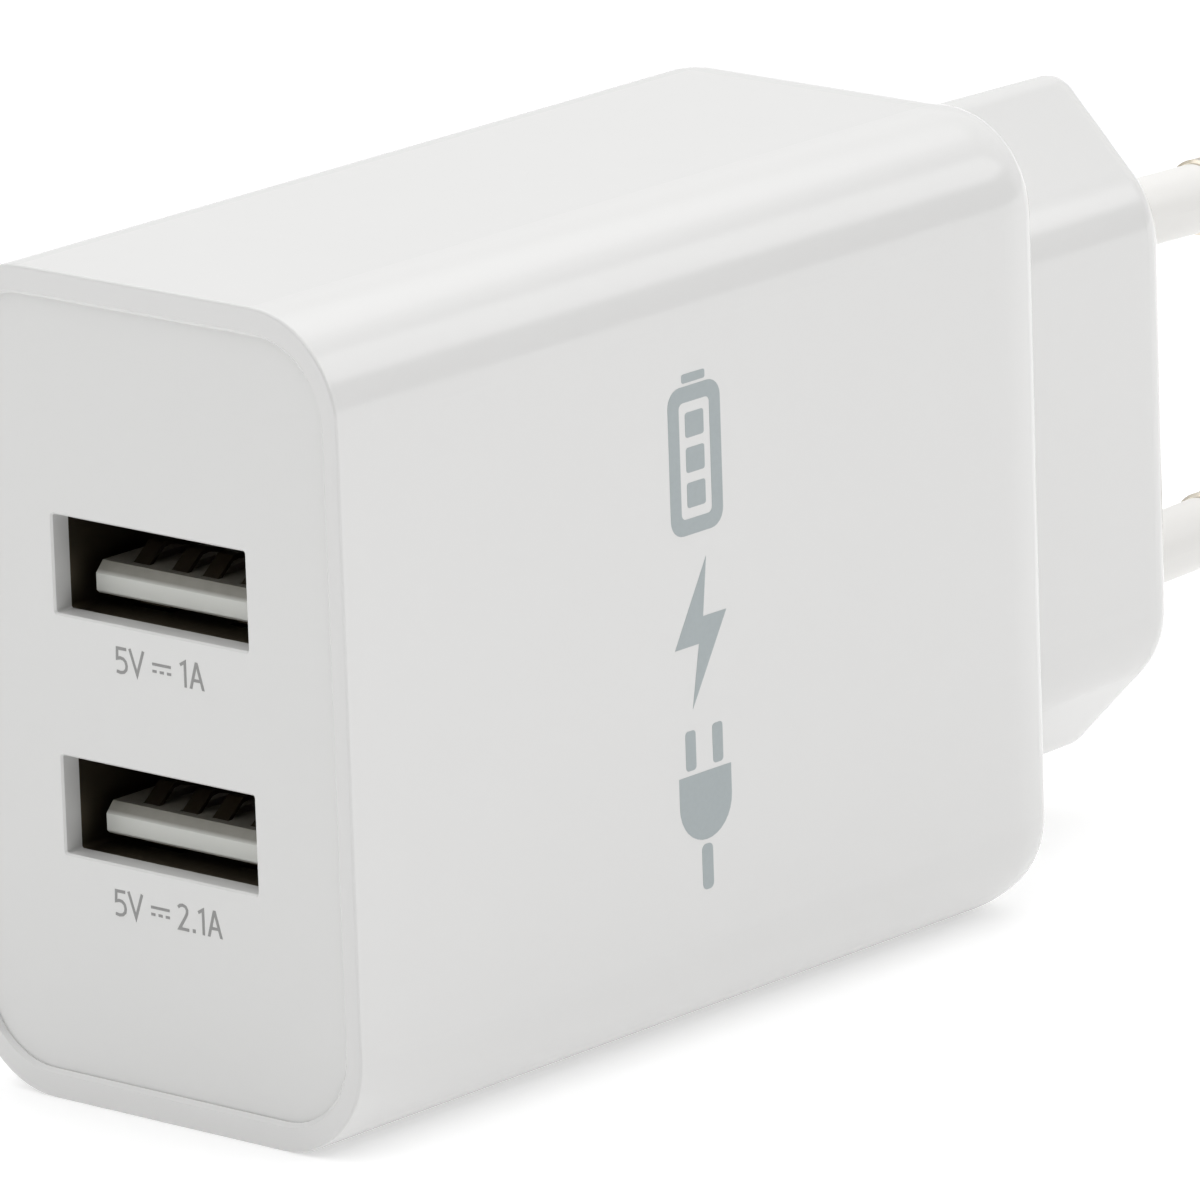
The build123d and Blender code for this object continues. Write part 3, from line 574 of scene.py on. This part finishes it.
def finish_nodes():
    """Gives every CAD node its finish, by its material slot, or by its name where each one differs."""
    turns_y = winding_finish("transformer_wire_enamelled", "Y")
    turns_x = winding_finish("choke_wire_enamelled", "X")
    by_slot = {
        "housing_plastic": housing_finish(),
        "panel_plastic": panel_finish(),
        "sleeve_plastic": sleeve_finish(),
        "pin_metal": pin_finish(),
        "port_steel": steel_finish(),
        "tongue_plastic": tongue_finish(),
        # The contacts' near-black colour is painted shade for the inside of the port.
        "contact_gold": plated_finish("contact_alloy_plated", contact_metal_painted_shade, 0.4),
        "spring_brass": plated_finish("spring_brass_drawn", (0.62, 0.45, 0.20), 0.3),
        "board_laminate": board_finish(),
        "ferrite": ferrite_finish(),
        "bobbin_plastic": phenolic_finish(),
        "copper_wire": turns_y,
        "yellow_tape": tape_finish(),
        "tinned_wire": tinned_finish(),
        "black_epoxy": epoxy_finish("black_epoxy_moulded", (0.022, 0.022, 0.024), 0.5, 0.004 * MM),
        "disc_epoxy": epoxy_finish("disc_epoxy_dipped", (0.02, 0.075, 0.30), 0.22, 0.008 * MM),
        "insulating_film": film_finish(),
    }
    green = (0.03, 0.13, 0.07)
    half_band = 0.35 * MM
    fuse_bands = [
        (0.3, half_band, (0.6, 0.25, 0.02)),
        (0.5, half_band, (0.02, 0.02, 0.02)),
        (0.7, half_band, (0.5, 0.38, 0.12)),
    ]
    black = (0.02, 0.02, 0.022)
    cathode_band = [(0.14, 0.4 * MM, (0.6, 0.6, 0.6))]
    by_node = {
        "filter_choke_winding": turns_x,
        "fuse_resistor": banded_finish("fuse_resistor_lacquer", "fuse_resistor", green, fuse_bands, 0.3),
        "output_diode": banded_finish("output_diode_epoxy", "output_diode", black, cathode_band, 0.45),
        "chip_resistors": chip_finish("chip_resistor_glaze", (0.025, 0.025, 0.028)),
        "chip_capacitors": chip_finish("chip_capacitor_ceramic", (0.36, 0.24, 0.13)),
    }
    for side in SIDES:
        for stage in ("input", "output"):
            name = f"{stage}_capacitor_{side}"
            by_node[name] = capacitor_finish(name)
    for name, piece in NODES.items():
        for socket in piece.material_slots:
            socket.material = by_node.get(name) or by_slot[socket.material.name]


# --- Printing ------------------------------------------------------------------------------


def outline(points):
    """Closed run of (across, up) points, in millimetres."""
    return [Vector((x, y, 0.0)) * MM for x, y in points]


def rounded_bar(width, height, radius, middle=(0.0, 0.0)):
    """Outline of a rectangle with round corners."""
    steps = 6
    points = []
    for turn in range(4):
        corner_x = (width / 2 - radius) * (1 if turn in (0, 3) else -1)
        corner_y = (height / 2 - radius) * (1 if turn in (0, 1) else -1)
        for step in range(steps + 1):
            angle = pi / 2 * (turn + step / steps)
            across = middle[0] + corner_x + radius * cos(angle)
            up = middle[1] + corner_y + radius * sin(angle)
            points.append((across, up))
    return outline(points)


def printed(name, outlines, to_surface, ink):
    """Thin printed layer from closed outlines, holes included, laid on a surface of the charger."""
    curve = bpy.data.curves.new(name, "CURVE")
    curve.dimensions = "2D"
    curve.fill_mode = "BOTH"
    curve.extrude = (ink_thickness + ink_sink) / 2
    for points in outlines:
        spline = curve.splines.new("POLY")
        spline.points.add(len(points) - 1)
        for place, point in zip(spline.points, points):
            place.co = (*point, 1.0)
        spline.use_cyclic_u = True
    source = bpy.data.objects.new(name + "_source", curve)
    bpy.context.scene.collection.objects.link(source)
    bpy.context.view_layer.update()
    depsgraph = bpy.context.evaluated_depsgraph_get()
    mesh = bpy.data.meshes.new_from_object(source.evaluated_get(depsgraph))
    bpy.data.objects.remove(source)
    mesh.name = name
    mesh.transform(to_surface)
    mesh.materials.clear()
    mesh.materials.append(ink)
    piece = bpy.data.objects.new(name, mesh)
    bpy.context.scene.collection.objects.link(piece)
    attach(piece, "root")


def on_broad_side(behind_front):
    """Print frame on the +X side: across runs along +Y and up along +Z."""
    lift = (ink_thickness - ink_sink) / 2
    turn = Matrix(((0, 0, 1), (1, 0, 0), (0, 1, 0))).to_4x4()
    return Matrix.Translation((broad_side + lift, housing_low.y + behind_front, 0.0)) @ turn


def on_panel(x, z):
    """Print frame on the front panel: across runs along +X and up along +Z."""
    lift = (ink_thickness - ink_sink) / 2
    turn = Matrix(((1, 0, 0), (0, 0, -1), (0, 1, 0))).to_4x4()
    return Matrix.Translation((x, panel_face - lift, z)) @ turn


def rounded_foot(half, top, shoulder):
    """Outline with a flat top and a half-round underside."""
    steps = 16
    turns = [pi + pi * step / steps for step in range(steps + 1)]
    belly = [(half * cos(turn), shoulder + half * sin(turn)) for turn in turns]
    return outline([(-half, top)] + belly + [(half, top)])


def charging_pictogram():
    """Column of three generic signs, in millimetres: a battery, a bolt and a plug."""
    half = 1.925
    stroke = 0.8
    battery_length = 7.4
    battery_middle = 8.7
    terminal_middle = 12.78
    cell_pitch = 1.75
    prong_offset = 1.0
    prong_middle = -5.75
    plug_top = -7.0
    plug_shoulder = -8.5
    cord_middle = -11.8
    battery = [
        rounded_bar(2 * half, battery_length, 0.9, (0.0, battery_middle)),
        rounded_bar(2 * (half - stroke), battery_length - 2 * stroke, 0.3, (0.0, battery_middle)),
        rounded_bar(1.7, 0.45, 0.12, (0.0, terminal_middle)),
    ]
    for step in (-1, 0, 1):
        battery.append(rounded_bar(1.35, 1.25, 0.15, (0.0, battery_middle + step * cell_pitch)))
    bolt = outline([
        (0.55, 3.7), (-half, -0.55), (-0.15, -0.55),
        (-0.75, -3.7), (half, 0.75), (0.2, 0.75),
    ])
    prongs = [rounded_bar(0.75, 2.0, 0.2, (side * prong_offset, prong_middle)) for side in (-1, 1)]
    plug = [
        rounded_foot(half, plug_top, plug_shoulder),
        rounded_bar(0.8, 2.3, 0.3, (0.0, cord_middle)),
    ]
    return battery + [bolt] + prongs + plug


def add_pictogram():
    ink = ink_finish("pictogram_ink", pictogram_grey)
    printed("charging_pictogram", charging_pictogram(), on_broad_side(pictogram_behind_front), ink)


def ribbon(path, width):
    """Outline of a stroke of even width along an open run of points, with mitred corners."""
    points = [Vector(point) for point in path]
    sides = []
    for place, point in enumerate(points):
        before = (point - points[place - 1]).normalized() if place else None
        after = (points[place + 1] - point).normalized() if place + 1 < len(points) else None
        run = ((before or after) + (after or before)).normalized()
        across = Vector((-run.y, run.x))
        mitre = across.dot(Vector((-(before or after).y, (before or after).x)))
        sides.append(across * (width / 2 / mitre))
    left = [point + side for point, side in zip(points, sides)]
    right = [point - side for point, side in zip(points, sides)]
    return [tuple(point) for point in left + right[::-1]]


def glyph(sign):
    """Outlines and advance of one sign, for a cap height of 1."""
    low = stroke_share / 2
    high = 1 - low
    five = [
        (0.57, high), (0.13, high), (0.11, 0.56), (0.26, 0.60), (0.41, 0.575), (0.52, 0.48),
        (0.56, 0.33), (0.53, 0.19), (0.42, 0.09), (0.26, low), (0.07, 0.09),
    ]
    two = [
        (0.07, 0.84), (0.17, 0.92), (0.30, high), (0.43, 0.90), (0.50, 0.79),
        (0.49, 0.66), (0.40, 0.50), (0.10, low), (0.57, low),
    ]
    strokes = {
        "5": (five, 0.70),
        "2": (two, 0.68),
        "1": ([(0.10, 0.80), (0.33, 0.93), (0.33, 0.0)], 0.52),
        "V": ([(0.03, 1.0), (0.36, 0.09), (0.69, 1.0)], 0.76),
    }
    if sign in strokes:
        path, advance = strokes[sign]
        return [ribbon(path, stroke_share)], advance
    if sign == "A":
        legs = [
            (0.0, 0.0), (0.30, 1.0), (0.42, 1.0), (0.72, 0.0),
            (0.595, 0.0), (0.515, 0.27), (0.205, 0.27), (0.125, 0.0),
        ]
        hole = [(0.24, 0.38), (0.36, 0.78), (0.48, 0.38)]
        return [legs, hole], 0.74
    if sign == ".":
        return [[(0.06, 0.0), (0.06, 0.14), (0.20, 0.14), (0.20, 0.0)]], 0.26
    if sign == "=":
        bars = [[(0.05, 0.62), (0.95, 0.62)]]
        bars += [[(0.05 + step, 0.36), (0.25 + step, 0.36)] for step in (0.0, 0.35, 0.70)]
        return [ribbon(bar, stroke_share * 0.9) for bar in bars], 1.0
    return [], 0.30


def caption_outlines(signs):
    """Outlines of a row of signs, centred. = stands for the direct-current sign."""
    cursor = 0.0
    runs = []
    for sign in signs:
        outlines, advance = glyph(sign)
        runs += [[(x + cursor, y) for x, y in points] for points in outlines]
        cursor += advance
    middle = cursor / 2
    scaled = [[((x - middle) * cap_height, y * cap_height) for x, y in points] for points in runs]
    return [outline(points) for points in scaled]


def add_captions():
    """Generic voltage and current ratings under the ports."""
    ink = ink_finish("caption_ink", caption_grey)
    for name, signs, x, z in captions:
        printed(f"caption_{name}", caption_outlines(signs), on_panel(x * MM, z * MM), ink)


# --- The scene -----------------------------------------------------------------------------

finish_nodes()
add_pictogram()
add_captions()

add_floor()
add_world()
add_overhead_lamp()
add_camera()
bpy.context.scene.view_settings.view_transform = "Standard"
